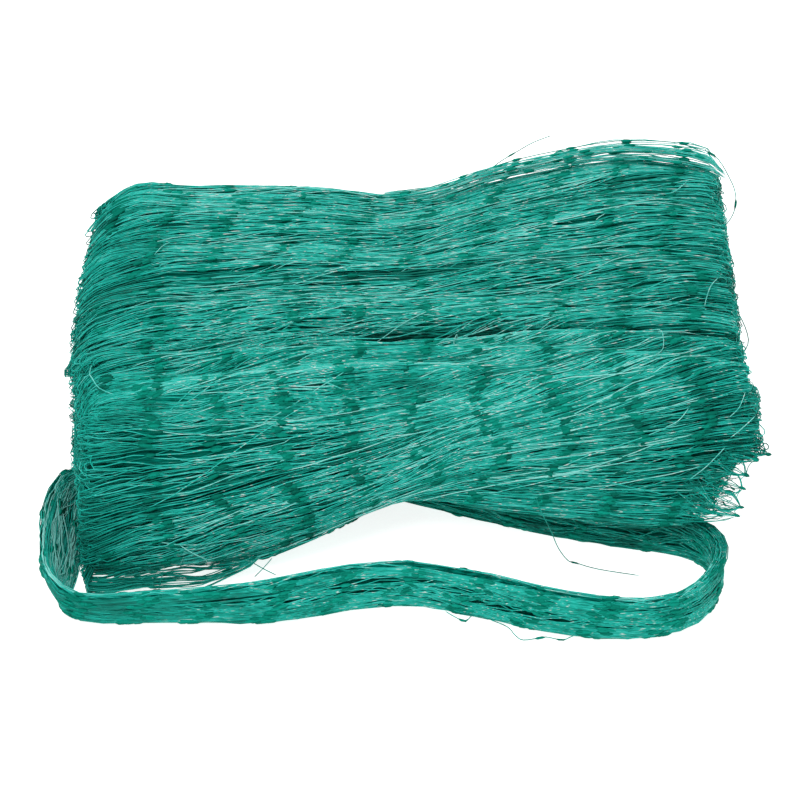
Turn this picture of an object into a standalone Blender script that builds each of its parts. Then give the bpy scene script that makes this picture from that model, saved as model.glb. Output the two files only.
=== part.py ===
"""Folded bird netting: one gathered band of net, folded back and forth in two stacks, with one loose loop.

Sizes are in millimetres and turned to metres when a vertex is made. +X runs along the folds, -Y is the front,
where the loose loop lies, and +Z is up. The netting lies on z = 0, and the origin is under its middle.
"""
import bpy
import bmesh
import math
from mathutils import Vector

MM = 0.001

# Driving sizes of the two stacks
PASSES = 8                 # layers in each stack
STACK = 60.0               # nominal height that the layers share
LAYER_GAP = 1.0            # air between two layers
SEAM_GAP = 1.2             # air between the two stacks
PITCH = STACK / PASSES
THICK = PITCH - LAYER_GAP
TOP = STACK - LAYER_GAP    # top of the last layer, with the first one's underside at 0
FOLD_STEPS = 4             # sections round half a turn
PASS_STEPS = 13            # sections along a layer
RIDGE = 1.1                # height of the soft ridges along the layers
EDGE_ROUND = 0.035         # share of a layer's width that its rounded edge takes

# Plan and height of the bundle, a row for each station along it
# (lift: height of the front stack's underside; fall: the share of its width past which that underside sinks
# behind the loop, back to the floor)
STATION_COLUMNS = ("x", "near", "seam", "far", "lift", "fall", "crown")
STATIONS = (
    (-108.0, -54.0, -18.0, 72.0, 0.0, 1.0, 58.0),
    (-92.0, -56.5, -18.0, 76.0, 0.0, 1.0, 62.8),
    (-68.0, -56.0, -16.0, 77.0, 0.0, 1.0, 62.2),
    (-36.0, -48.5, -11.0, 76.0, 8.5, 1.0, 62.2),
    (-6.0, -40.5, -6.0, 75.0, 18.3, 0.80, 59.5),
    (26.0, -45.0, -9.0, 86.0, 18.3, 0.58, 62.5),
    (62.0, -51.0, -12.0, 94.0, 18.3, 0.44, 65.0),
    (88.0, -51.0, -14.0, 93.0, 18.3, 0.34, 64.0),
    (106.0, -49.0, -14.0, 90.0, 18.3, 0.30, 59.5),
)
FALL_WIDTH = 0.35          # share of the front stack's width over which it sinks
FALL_DEPTH = 0.9           # share of the lift that it sinks by

# How the tops round off and the ends draw in
NEAR_SHOULDER = 7.0        # how far the front stack's top falls to its front edge
NEAR_RIDGES = (5, 0.011)   # half waves of the soft ridges across the front stack, and their drift per mm of x
NEAR_DRAWN = (0.03, 0.035)  # share its left end is drawn in by at the front, and its right end at the seam
NEAR_BLEND = (-60.0, 60.0)  # where a front layer's left inset gives way to its right one
FAR_SHOULDER = 5.0         # how far the back stack's top falls to its back edge
FAR_SHOULDER_START = 0.3   # share of the width at which that fall begins
FAR_RIDGES = (7, 0.009)
FAR_DRAWN = (0.075, 0.045)   # share that its left and right ends are drawn in by at the back
FAR_DRAWN_POWER = (2.5, 1.5)  # how late across the width each of them comes
BACK_LIFT = 4.0            # how far the back edge's underside is off the ground
BACK_LIFT_START = 0.72     # share of the width at which it leaves the ground
WAIST = -6.0               # x of the waist, where the seam between the stacks is a crease
CREASE_LENGTH = 38.0
CREASE_WIDTH = 14.0
CREASE_DEPTH = 6.0

# Each layer from the bottom up: how far its edge is drawn in, left and right
NEAR_LAYERS = ((0, 0), (0, 2), (1, 7), (3, 11), (5, 13), (9, 15), (13, 17), (19, 20))
FAR_LAYERS = ((7, 7), (3, 3), (1, 1), (0, 0), (0, 0), (1, 1), (4, 4), (9, 9))

# Folds from the bottom up: right turns join layers 1-2, 3-4, 5-6, 7-8 and left turns join 2-3, 4-5, 6-7
NEAR_RIGHT = (92.0, 99.5, 104.0, 101.5)
NEAR_LEFT = (-102.5, -104.5, -103.0)
FAR_RIGHT = (93.5, 97.0, 97.5, 95.0)
FAR_LEFT = (-98.0, -98.5, -98.0)

# The bottom layer's free end, and the top layer's end, which wraps down over the left folds
FREE_END = -97.0
WRAP_BEND = 7.5            # radius of the middle of the wrap's bend
NEAR_WRAP = (-105.5, 44.0)  # where the wrap's outside reaches, and the height at which it ends
FAR_WRAP = (-105.5, 30.0)

# Loose loop: the same band standing on edge, a row for each point of its middle line
# (lean: how far its foot lies inside its top)
LOOP_THICK = 4.2
LOOP_FOOT = 2.4            # width of the flat foot that it stands on
LOOP_ANKLE = 2.5           # height above the foot at which it has its full thickness
LOOP_TAPER = 0.62           # share of the height at which its sides begin to lean in
LOOP_LIP = 0.6             # share of the thickness that is left at the top
LOOP_STEP = 6.5            # length between two sections
LOOP_FINE = 12             # fine steps between two rows, from which the sections are picked
LOOP_COLUMNS = ("x", "y", "foot", "height", "lean")
LOOP = (
    (-88.0, -12.5, 2.0, 10.0, 0.0),
    (-101.0, -13.5, 1.6, 12.0, 2.0),
    (-108.8, -20.0, 0.0, 14.0, 6.0),
    (-112.6, -33.0, 0.0, 15.5, 9.5),
    (-113.6, -49.0, 0.0, 15.5, 9.5),
    (-111.6, -65.0, 0.0, 14.5, 6.0),
    (-101.5, -74.0, 0.0, 12.8, 2.5),
    (-82.0, -73.2, 0.0, 12.6, 0.5),
    (-52.0, -71.5, 0.0, 14.5, 0.0),
    (-24.0, -65.5, 0.0, 16.0, 0.0),
    (-4.0, -63.3, 0.0, 16.5, 0.0),
    (18.0, -68.3, 0.0, 16.5, 0.0),
    (40.0, -76.3, 0.0, 16.5, 0.0),
    (62.0, -78.6, 0.0, 15.0, 0.0),
    (78.0, -73.5, 0.0, 14.0, 0.0),
    (87.2, -60.8, 0.0, 14.5, 0.0),
    (87.0, -49.4, 0.0, 16.0, 0.0),
    (77.5, -41.6, 0.0, 17.0, 0.0),
    (54.0, -36.6, 0.0, 17.0, 0.0),
    (26.0, -28.4, 0.0, 17.0, 0.0),
    (-6.0, -16.6, 0.0, 16.5, 0.0),
    (-24.0, -13.5, 1.2, 15.5, 0.0),
    (-40.0, -17.0, 2.0, 13.0, 0.0),
)


def between(rows, columns, x, name):
    """A smooth value of one column at x, by a Catmull-Rom curve through the rows."""
    column = columns.index(name)
    last = len(rows) - 1
    if x <= rows[0][0]:
        return rows[0][column]
    if x >= rows[last][0]:
        return rows[last][column]
    i = max(k for k in range(last) if rows[k][0] <= x)
    before, after = rows[max(i - 1, 0)], rows[min(i + 2, last)]
    start, end = rows[i], rows[i + 1]
    span = end[0] - start[0]
    t = (x - start[0]) / span
    slope_start = (end[column] - before[column]) / (end[0] - before[0]) * span
    slope_end = (after[column] - start[column]) / (after[0] - start[0]) * span
    return (
        (2 * t**3 - 3 * t**2 + 1) * start[column]
        + (t**3 - 2 * t**2 + t) * slope_start
        + (3 * t**2 - 2 * t**3) * end[column]
        + (t**3 - t**2) * slope_end
    )


def station(x, name):
    return between(STATIONS, STATION_COLUMNS, x, name)


def soft_step(t):
    t = min(max(t, 0.0), 1.0)
    return t * t * (3 - 2 * t)


def crease(x, from_seam):
    """How deep the top dips beside the seam, deepest at the waist."""
    along = math.exp(-(((x - WAIST) / CREASE_LENGTH) ** 2))
    return CREASE_DEPTH * along * max(0.0, 1.0 - from_seam / CREASE_WIDTH) ** 2


def place_near(x, across, height, inset):
    """World point of a place in the near stack: across runs from the front edge, 0, to the seam, 1."""
    rightness = soft_step((x - NEAR_BLEND[0]) / (NEAR_BLEND[1] - NEAR_BLEND[0]))
    front = station(x, "near") + inset[0] + (inset[1] - inset[0]) * rightness
    seam = station(x, "seam") - SEAM_GAP / 2
    y = front + across * (seam - front)
    sunk = FALL_DEPTH * soft_step((across - station(x, "fall")) / FALL_WIDTH)
    under = max(0.0, station(x, "lift")) * (1 - sunk)
    top = station(x, "crown") - NEAR_SHOULDER * (1 - across) ** 2 - crease(x, seam - y)
    ridge = RIDGE * math.sin(math.pi * (NEAR_RIDGES[0] * across + NEAR_RIDGES[1] * x))
    share = height / TOP
    reach = 1 - NEAR_DRAWN[1] * across if x > 0 else 1 - NEAR_DRAWN[0] * (1 - across) ** 2
    return Vector((x * reach, y, under + share * (top + ridge - under))) * MM


def place_far(x, across, height, inset):
    """World point of a place in the far stack: across runs from the seam, 0, to the back edge, 1."""
    back = station(x, "far") - inset[0]
    seam = station(x, "seam") + SEAM_GAP / 2
    y = seam + across * (back - seam)
    under = BACK_LIFT * soft_step((across - BACK_LIFT_START) / (1 - BACK_LIFT_START))
    shoulder = max(0.0, across - FAR_SHOULDER_START) / (1 - FAR_SHOULDER_START)
    top = station(x, "crown") - FAR_SHOULDER * shoulder**2 - crease(x, y - seam)
    ridge = RIDGE * math.sin(math.pi * (FAR_RIDGES[0] * across + FAR_RIDGES[1] * x))
    share = height / TOP
    side = 1 if x > 0 else 0
    reach = 1 - FAR_DRAWN[side] * across ** FAR_DRAWN_POWER[side]
    return Vector((x * reach, y, under + share * (top + ridge - under))) * MM


def fold_path(left, right, wrap):
    """Middle line of a stack's band: (x, height, direction, layer) for each section, bottom to top."""
    turn = PITCH / 2
    outer = turn + THICK / 2
    level = [THICK / 2 + PITCH * k for k in range(PASSES)]
    rights = [reach - outer for reach in right]
    lefts = [FREE_END] + [reach + outer for reach in left] + [wrap[0] + THICK / 2 + WRAP_BEND]
    path = []
    for k in range(PASSES):
        start, end = lefts[(k + 1) // 2], rights[k // 2]
        heading = 0.0
        if k % 2:
            start, end, heading = end, start, math.pi
        for s in range(PASS_STEPS + 1):
            path.append((start + (end - start) * s / PASS_STEPS, level[k], heading, k))
        if k == PASSES - 1:
            break
        side = -1 if k % 2 else 1
        middle = level[k] + turn
        for s in range(1, FOLD_STEPS):
            angle = -math.pi / 2 + math.pi * s / FOLD_STEPS
            x = end + side * turn * math.cos(angle)
            facing = math.pi / 2 + side * angle
            path.append((x, middle + turn * math.sin(angle), facing, k + s / FOLD_STEPS))
    x, height, top = path[-1][0], path[-1][1], PASSES - 1
    for s in range(1, FOLD_STEPS):
        angle = math.pi / 2 * s / (FOLD_STEPS - 1)
        path.append((x - WRAP_BEND * math.sin(angle), height - WRAP_BEND * (1 - math.cos(angle)),
                     math.pi + angle, top))
    path.append((x - WRAP_BEND, wrap[1], 1.5 * math.pi, top))
    return path


def band_profile(points):
    """Section of the band: (across, thickness share) round it, with soft edges."""
    shares = [EDGE_ROUND + (1 - 2 * EDGE_ROUND) * j / (points - 1) for j in range(points)]
    upper = [(share, 0.5) for share in shares]
    lower = [(share, -0.5) for share in reversed(shares)]
    return upper + [(1.0, 0.0)] + lower + [(0.0, 0.0)]


def skin_rings(name, rings):
    """One closed mesh object through rings of points, with a cap at each end."""
    mesh = bmesh.new()
    made = [[mesh.verts.new(point) for point in ring] for ring in rings]
    count = len(made[0])
    for ring, following in zip(made, made[1:]):
        for j in range(count):
            k = (j + 1) % count
            mesh.faces.new((ring[j], ring[k], following[k], following[j]))
    mesh.faces.new(made[0])
    mesh.faces.new(list(reversed(made[-1])))
    bmesh.ops.triangulate(mesh, faces=mesh.faces[:])
    bmesh.ops.recalc_face_normals(mesh, faces=mesh.faces[:])
    data = bpy.data.meshes.new(name)
    mesh.to_mesh(data)
    mesh.free()
    item = bpy.data.objects.new(name, data)
    bpy.context.collection.objects.link(item)
    return item


def layer_inset(layers, along):
    """Edge inset (left, right) at a place along the path, blended between two layers."""
    below = int(math.floor(along))
    above = min(below + 1, PASSES - 1)
    t = along - below
    return tuple(layers[below][side] * (1 - t) + layers[above][side] * t for side in (0, 1))


def make_stack(name, place, layers, path, points):
    """A folded stack: the band's section swept along its path and set in the bundle's true shape."""
    rings = []
    for x, height, heading, along in path:
        inset = layer_inset(layers, along)
        ring = []
        for across, share in band_profile(points):
            outward, upward = share * THICK * math.sin(heading), share * THICK * math.cos(heading)
            ring.append(place(x - outward, across, height + upward, inset))
        rings.append(ring)
    return skin_rings(name, rings)


def loop_line():
    """Evenly spaced (x, y, foot, height, lean) along the loose loop's smooth middle line."""
    fine = []
    last = len(LOOP) - 1
    for i in range(last):
        rows = [LOOP[max(i - 1, 0)], LOOP[i], LOOP[i + 1], LOOP[min(i + 2, last)]]
        for s in range(LOOP_FINE):
            t = s / LOOP_FINE
            weights = (
                (-t + 2 * t**2 - t**3) / 2,
                (2 - 5 * t**2 + 3 * t**3) / 2,
                (t + 4 * t**2 - 3 * t**3) / 2,
                (t**3 - t**2) / 2,
            )
            fine.append(tuple(
                sum(weight * row[column] for weight, row in zip(weights, rows))
                for column in range(len(LOOP_COLUMNS))
            ))
    fine.append(LOOP[last])
    line, since = [fine[0]], 0.0
    for before, point in zip(fine, fine[1:]):
        since += math.dist(before[:2], point[:2])
        if since >= LOOP_STEP:
            line.append(point)
            since = 0.0
    return line


def make_loop(name):
    """The loose loop: the band on edge, standing on its flat foot."""
    line = loop_line()
    half, foot_half = LOOP_THICK / 2, LOOP_FOOT / 2
    rings = []
    for i, (x, y, foot, height, lean) in enumerate(line):
        ahead, behind = line[min(i + 1, len(line) - 1)], line[max(i - 1, 0)]
        along = Vector((ahead[0] - behind[0], ahead[1] - behind[1])).normalized()
        side = Vector((-along.y, along.x))
        foot = max(foot, 0.0)
        section = (
            (-foot_half, foot), (foot_half, foot), (half, foot + LOOP_ANKLE), (half, height * LOOP_TAPER),
            (half * LOOP_LIP, height), (-half * LOOP_LIP, height),
            (-half, height * LOOP_TAPER), (-half, foot + LOOP_ANKLE),
        )
        ring = []
        for offset, z in section:
            inward = offset + lean * (1 - z / height)
            ring.append(Vector((x + side.x * inward, y + side.y * inward, z)) * MM)
        rings.append(ring)
    return skin_rings(name, rings)


def join_into(whole, piece):
    """Union of a piece into the whole; the piece stays as a guide that isn't part of the model."""
    piece.hide_render = True
    piece.display_type = "WIRE"
    cut = whole.modifiers.new("join_" + piece.name, "BOOLEAN")
    cut.operation = "UNION"
    cut.solver = "EXACT"
    cut.object = piece


def net_green():
    """Green monofilament net."""
    material = bpy.data.materials.new("green_net")
    material.use_nodes = True
    shader = material.node_tree.nodes["Principled BSDF"]
    shader.inputs["Base Color"].default_value = (0.016, 0.27, 0.20, 1.0)
    shader.inputs["Roughness"].default_value = 0.42
    shader.inputs["Metallic"].default_value = 0.0
    return material


def main():
    for item in list(bpy.data.objects):
        bpy.data.objects.remove(item, do_unlink=True)
    far = make_stack("netting", place_far, FAR_LAYERS, fold_path(FAR_LEFT, FAR_RIGHT, FAR_WRAP), 8)
    near = make_stack("near_stack", place_near, NEAR_LAYERS, fold_path(NEAR_LEFT, NEAR_RIGHT, NEAR_WRAP), 6)
    loop = make_loop("loose_loop")
    join_into(far, loop)
    join_into(far, near)
    far.data.materials.append(net_green())


main()
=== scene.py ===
"""Folded bird netting, dressed strand by strand over the folds of its solid.

Tables are in millimetres, as the net is measured; metres are made where a piece is made. +X runs along the
folds, -Y is the front with the loose loop, +Z is up, and the netting lies on z = 0.
"""
import math

import bmesh
import bpy
import numpy as np
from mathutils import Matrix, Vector

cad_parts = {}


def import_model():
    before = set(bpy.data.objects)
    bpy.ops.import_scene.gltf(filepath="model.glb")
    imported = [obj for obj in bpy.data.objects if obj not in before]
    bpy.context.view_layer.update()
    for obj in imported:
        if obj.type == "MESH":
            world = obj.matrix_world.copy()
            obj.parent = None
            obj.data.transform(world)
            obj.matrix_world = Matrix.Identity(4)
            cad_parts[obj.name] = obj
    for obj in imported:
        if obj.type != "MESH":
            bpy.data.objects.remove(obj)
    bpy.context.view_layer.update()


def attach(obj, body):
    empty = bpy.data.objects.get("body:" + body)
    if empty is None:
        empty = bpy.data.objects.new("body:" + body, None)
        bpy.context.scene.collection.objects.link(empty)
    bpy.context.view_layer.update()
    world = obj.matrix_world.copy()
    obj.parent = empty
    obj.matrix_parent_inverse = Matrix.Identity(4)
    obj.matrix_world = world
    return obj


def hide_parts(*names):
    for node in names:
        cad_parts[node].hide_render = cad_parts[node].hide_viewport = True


MM = 0.001
NODE = "netting"

# ---------------------------------------------------------------- the folded band, as the solid has it
PASSES = 8                 # layers in each of the two stacks
STACK = 60.0               # their height
LAYER_GAP = 1.0
SEAM_GAP = 1.2             # between the stacks
PITCH = STACK / PASSES
THICK = PITCH - LAYER_GAP
TOP = STACK - LAYER_GAP
RIDGE = 1.1                # height of the ridges that run along the layers
# along x: the front edge, the seam and the back edge; how high the near stack is lifted off the ground, and
# from what share of its width on it isn't; and how high the top stands
STATION_COLUMNS = ("x", "near", "seam", "far", "lift", "fall", "crown")
STATIONS = (
    (-108.0, -54.0, -18.0, 72.0, 0.0, 1.0, 58.0),
    (-92.0, -56.5, -18.0, 76.0, 0.0, 1.0, 62.8),
    (-68.0, -56.0, -16.0, 77.0, 0.0, 1.0, 62.2),
    (-36.0, -48.5, -11.0, 76.0, 8.5, 1.0, 62.2),
    (-6.0, -40.5, -6.0, 75.0, 18.3, 0.80, 59.5),
    (26.0, -45.0, -9.0, 86.0, 18.3, 0.58, 62.5),
    (62.0, -51.0, -12.0, 94.0, 18.3, 0.44, 65.0),
    (88.0, -51.0, -14.0, 93.0, 18.3, 0.34, 64.0),
    (106.0, -49.0, -14.0, 90.0, 18.3, 0.30, 59.5),
)
FALL_WIDTH = 0.35          # share of the width over which it comes down behind the loop
FALL_DEPTH = 0.9           # and share of the lift
NEAR_SHOULDER = 7.0        # how much lower the outer edges of the tops are than the seam
FAR_SHOULDER = 5.0
FAR_SHOULDER_START = 0.3
NEAR_RIDGES = (5, 0.011)   # ridges across half the width, and their slant
FAR_RIDGES = (7, 0.009)
NEAR_DRAWN = (0.03, 0.035)         # how much shorter the layers are, left at the front and right at the seam
FAR_DRAWN = (0.06, 0.045)          # left and right at the back
FAR_DRAWN_POWER = (2.5, 1.5)
NEAR_BLEND = (-60.0, 60.0)         # x between which the layers' left insets give way to the right ones
BACK_LIFT = 4.0            # how far the back edge is off the ground, and from what share of the width on
BACK_LIFT_START = 0.72
WAIST = -6.0               # x of the crease between the tops, with its length, width and depth
CREASE_LENGTH = 38.0
CREASE_WIDTH = 14.0
CREASE_DEPTH = 6.0
# how far each layer's outer edge stands back, at the left and at the right, from the bottom up
NEAR_LAYERS = ((0, 0), (0, 2), (1, 7), (3, 11), (5, 13), (9, 15), (13, 17), (19, 20))
FAR_LAYERS = ((7, 7), (3, 3), (1, 1), (0, 0), (0, 0), (1, 1), (4, 4), (9, 9))
# x of the folds at both ends, from the bottom up
NEAR_RIGHT = (92.0, 99.5, 104.0, 101.5)
NEAR_LEFT = (-102.5, -104.5, -103.0)
FAR_RIGHT = (93.5, 97.0, 97.5, 95.0)
FAR_LEFT = (-98.0, -98.5, -98.0)
FREE_END = -97.0           # of the lowest layers
WRAP_BEND = 7.5            # how the top layer bends down over the left folds: radius, x and lowest height
NEAR_WRAP = (-105.5, 44.0)
FAR_WRAP = (-105.5, 30.0)
LOOP_THICK = 4.2
# the loop's middle line, from its left root round to its right one; how high its lower and upper edges are,
# and how far its foot stands inside its upper edge
LOOP_COLUMNS = ("x", "y", "foot", "height", "lean")
LOOP = (
    (-88.0, -12.5, 2.0, 10.0, 0.0),
    (-101.0, -13.5, 1.6, 12.0, 2.0),
    (-108.8, -20.0, 0.0, 14.0, 6.0),
    (-112.6, -33.0, 0.0, 15.5, 9.5),
    (-113.6, -49.0, 0.0, 15.5, 9.5),
    (-111.6, -65.0, 0.0, 14.5, 6.0),
    (-101.5, -74.0, 0.0, 12.8, 2.5),
    (-82.0, -73.2, 0.0, 12.6, 0.5),
    (-52.0, -71.5, 0.0, 14.5, 0.0),
    (-24.0, -65.5, 0.0, 16.0, 0.0),
    (-4.0, -63.3, 0.0, 16.5, 0.0),
    (18.0, -68.3, 0.0, 16.5, 0.0),
    (40.0, -76.3, 0.0, 16.5, 0.0),
    (62.0, -78.6, 0.0, 15.0, 0.0),
    (78.0, -73.5, 0.0, 14.0, 0.0),
    (87.2, -60.8, 0.0, 14.5, 0.0),
    (87.0, -49.4, 0.0, 16.0, 0.0),
    (77.5, -41.6, 0.0, 17.0, 0.0),
    (54.0, -36.6, 0.0, 17.0, 0.0),
    (26.0, -28.4, 0.0, 17.0, 0.0),
    (-6.0, -16.6, 0.0, 16.5, 0.0),
    (-24.0, -13.5, 1.2, 15.5, 0.0),
    (-40.0, -17.0, 2.0, 13.0, 0.0),
)

# ---------------------------------------------------------------- the net itself
STRAND = 0.33              # diameter of a strand
THIN_STRAND = 0.28         # of a single one that lies on the others
BAR = 20.0                 # length of a mesh bar, from knot to knot
KNOT_LONG = 3.6
KNOT_WIDE = 1.3
KNOT_SHARE = 0.6           # of the strands in the skin's rows of knots that show one
KNOT_ROW = -1.0            # x of one of the rows of knots
LOCK_STRANDS = 7           # how many strands lie together in a lock
BAR_SPREAD = (0.48, 0.22)  # how far a strand strays from its lock at each knot, sideways and in depth
# name, tone (lower for the inner layers: painted shade under the outer ones), and the sublayers of strands:
# depth, strands for each mm, steps in a bar
SKIN_LAYERS = (
    ("outer", 0.57, ((0.1, 1.3, 4), (0.45, 1.3, 4))),
    ("inner", 0.47, ((0.9, 1.1, 2), (1.5, 1.1, 2), (2.2, 1.1, 2))),
)
BACK_SLACK = 4.2           # how far the bundle is drawn in behind the loose layer on its top back edge,
SLACK_IN, SLACK_DOWN = 0.75, 0.65  # and what share of that inwards and down
FRONT_SLACK = 9.5          # and on its bottom front edge, to the left
BACK_HUMP = (2.0, -91.0, 9.0)      # how much fuller the top back edge is near the left end; x and width
SLITS = ((-8.0, 15.0, 1.7), (20.0, 8.0, 1.1))      # openings in the seam: x, length, half width
SLIT_FADE = 5.0
GROUND = 0.25              # strands on the ground keep this height
FACES_UP = 0.75            # upward share of its direction from which the skin counts as the top


# ================================================================ shape of the bundle
def curve_columns(rows):
    """Knots, values and slopes of every column, for a smooth curve through the rows."""
    table = np.array(rows, float)
    places = table[:, 0]
    slopes = np.empty_like(table)
    slopes[1:-1] = (table[2:] - table[:-2]) / (places[2:] - places[:-2])[:, None]
    slopes[0] = (table[1] - table[0]) / (places[1] - places[0])
    slopes[-1] = (table[-1] - table[-2]) / (places[-1] - places[-2])
    return places, table, slopes


STATION_CURVES = curve_columns(STATIONS)


def station(x, name):
    """A smooth value of one of the stations' columns at every x."""
    column = STATION_COLUMNS.index(name)
    places, table, slopes = STATION_CURVES
    x = np.clip(x, places[0], places[-1])
    i = np.clip(np.searchsorted(places, x, side="right") - 1, 0, len(places) - 2)
    span = places[i + 1] - places[i]
    t = (x - places[i]) / span
    return (
        (2 * t**3 - 3 * t**2 + 1) * table[i, column]
        + (t**3 - 2 * t**2 + t) * slopes[i, column] * span
        + (3 * t**2 - 2 * t**3) * table[i + 1, column]
        + (t**3 - t**2) * slopes[i + 1, column] * span
    )


def soft_step(t):
    """0 up to 0, 1 from 1, and smooth between."""
    t = np.clip(t, 0.0, 1.0)
    return t * t * (3 - 2 * t)


def rising(x, start, over):
    """0 up to start, then softly up to 1 over a length."""
    return soft_step((x - start) / over)


def falling(x, start, over):
    """0 down to start, then softly up to 1 over a length the other way."""
    return soft_step((start - x) / over)


def bump(x, middle, width):
    return np.exp(-(((x - middle) / width) ** 2))


def crease(x, from_seam):
    """How far the tops of the stacks dip towards the seam at the waist."""
    near_seam = np.maximum(0.0, 1.0 - from_seam / CREASE_WIDTH) ** 2
    return CREASE_DEPTH * bump(x, WAIST, CREASE_LENGTH) * near_seam


def layer_inset(layers, height, side):
    """How far the layers' edges stand back at a height, at the left end, 0, or the right one, 1."""
    along = np.clip((height - THICK / 2) / PITCH, 0, PASSES - 1)
    return np.interp(along, range(PASSES), [row[side] for row in layers])


def slit(x, from_seam):
    """Half the width of the openings in the seam."""
    width = sum(half * bump(x, middle, long) for middle, long, half in SLITS)
    return width * bump(from_seam, 0.0, SLIT_FADE)


def high(height):
    """0 in the lower part of a stack and 1 near its top."""
    return soft_step(height / TOP * 3 - 1.8)


def front_slack(x, across, height):
    """How far the bundle is drawn in on its bottom front edge."""
    low = (1 - rising(height, 0.0, 11.0)) * (1 - rising(across, 0.0, 0.35))
    return FRONT_SLACK * falling(x, -44.0, 26.0) * (1 - 0.7 * falling(x, -72.0, 18.0)) * low


def back_slack(x, across, height):
    """How far it is drawn in on its top back edge."""
    edge = rising(across, 0.74, 0.2) * rising(height / TOP, 0.7, 0.22)
    return BACK_SLACK * rising(x, -10.0, 25.0) * edge


def layer_height(x, across, height, under, top, ridges):
    """Height between the underside of a stack and its top, which has low ridges along the folds."""
    ridge = RIDGE * np.sin(math.pi * (ridges[0] * across + ridges[1] * x))
    return under + height / TOP * (top + ridge - under)


def place_near(x, across, height, slack=1.0):
    """Points of the near stack: across runs from its front edge, 0, to the seam, 1."""
    rightness = rising(x, NEAR_BLEND[0], NEAR_BLEND[1] - NEAR_BLEND[0])
    left, right = (layer_inset(NEAR_LAYERS, height, side) for side in (0, 1))
    front = station(x, "near") + left + (right - left) * rightness
    seam = station(x, "seam") - SEAM_GAP / 2
    y = front + across * (seam - front)
    sunk = FALL_DEPTH * rising(across, station(x, "fall"), FALL_WIDTH)
    under = np.maximum(0.0, station(x, "lift")) * (1 - sunk)
    top = station(x, "crown") - NEAR_SHOULDER * (1 - across) ** 2 - crease(x, seam - y)
    inner = np.clip(across, 0, 1)
    reach = np.where(x > 0, 1 - NEAR_DRAWN[1] * inner, 1 - NEAR_DRAWN[0] * (1 - inner) ** 2)
    z = layer_height(x, across, height, under, top, NEAR_RIDGES)
    y = y + slack * (front_slack(x, across, height) - slit(x, seam - y) * high(height))
    return np.stack((x * reach, y, z), axis=-1)


def place_far(x, across, height, slack=1.0):
    """Points of the far stack: across runs from the seam, 0, to its back edge, 1."""
    back = station(x, "far") - layer_inset(FAR_LAYERS, height, 0)
    seam = station(x, "seam") + SEAM_GAP / 2
    y = seam + across * (back - seam)
    under = BACK_LIFT * rising(across, BACK_LIFT_START, 1 - BACK_LIFT_START)
    shoulder = np.maximum(0.0, across - FAR_SHOULDER_START) / (1 - FAR_SHOULDER_START)
    top = station(x, "crown") - FAR_SHOULDER * shoulder**2 - crease(x, y - seam)
    inner = np.clip(across, 0, 1)
    reach = np.where(x > 0, 1 - FAR_DRAWN[1] * inner ** FAR_DRAWN_POWER[1],
                     1 - FAR_DRAWN[0] * inner ** FAR_DRAWN_POWER[0])
    z = layer_height(x, across, height, under, top, FAR_RIDGES)
    drawn = slack * back_slack(x, across, height)
    y = y + slack * slit(x, y - seam) * high(height) - SLACK_IN * drawn
    hump = slack * BACK_HUMP[0] * bump(x, *BACK_HUMP[1:]) * rising(across, 0.5, 0.4)
    z = z - SLACK_DOWN * drawn + hump * soft_step(height / TOP * 2 - 1)
    return np.stack((x * reach, y, z), axis=-1)


def rounded_line(corners):
    """Arc length, place and outward direction along a line of (across, height, radius) corners."""
    points = [Vector(corners[0][:2])]
    for before, corner, after in zip(corners, corners[1:], corners[2:]):
        middle = Vector(corner[:2])
        into = (Vector(before[:2]) - middle).normalized() * corner[2]
        out = (Vector(after[:2]) - middle).normalized() * corner[2]
        for step in range(9):
            angle = math.pi / 2 * step / 8
            points.append(middle + into * (1 - math.sin(angle)) + out * (1 - math.cos(angle)))
    points.append(Vector(corners[-1][:2]))
    line = np.array([point[:] for point in points])
    tangent = np.gradient(line, axis=0)
    tangent /= np.linalg.norm(tangent, axis=1)[:, None]
    return lengths_along(line), line, np.stack((-tangent[:, 1], tangent[:, 0]), axis=-1)


def lengths_along(line):
    """Length along a line from its start to each of its points."""
    return np.concatenate(([0.0], np.cumsum(np.linalg.norm(np.diff(line, axis=0), axis=1))))


class Stack:
    """One folded stack: where its skin runs, and where its folds turn."""

    def __init__(self, place, width, corners, rights, lefts, wrap, drift):
        self.place = place
        self.drift = drift
        self.width = width
        self.skin = rounded_line(corners)
        self.length = self.skin[0][-1]
        self.rights = np.array(rights)
        self.lefts = np.array(lefts)
        self.wrap = wrap

    def section(self, along, depth):
        """(across in mm, height) of places along the skin line, sunk by depth."""
        length, line, outward = self.skin
        across, height, out_a, out_h = (
            np.interp(along, length, values)
            for values in (line[:, 0], line[:, 1], outward[:, 0], outward[:, 1])
        )
        return across - out_a * depth, height - out_h * depth

    def faces_up(self, along):
        length, _, outward = self.skin
        return np.interp(along, length, outward[:, 1]) > FACES_UP

    def points(self, x, across, height, slack=1.0):
        return self.place(x, across / self.width, height, slack)


FAR_SLIP = (7.0, 5.0)      # at the left end and at the right one
CLIMB = 0.56               # how steeply the near stack's strands climb, far to the right of the waist
WAIST_RISE = 5.0           # how much those on its front climb past the waist, and dip before it
WAIST_DIP = 4.5
LEFT_DROP = 0.28           # how steeply those low on its front drop to the left, and more at the corner
CORNER_DROP = 0.25
LEFT_BULGE = 6.5           # how far those high on its front stand up on the left
TOP_SLIP = (9.0, 12.0)     # how far those on its top slip down the front on the left, and more at the end


def far_drift(x, home):
    """The far stack's strands slip to the front where they go over the left end, and back at the right."""
    slip = FAR_SLIP[0] * falling(x, -72.0, 34.0) * (1 - 0.6 * rising(home, 78.0, 20.0))
    return FAR_SLIP[1] * rising(x, 42.0, 48.0) - slip


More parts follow.
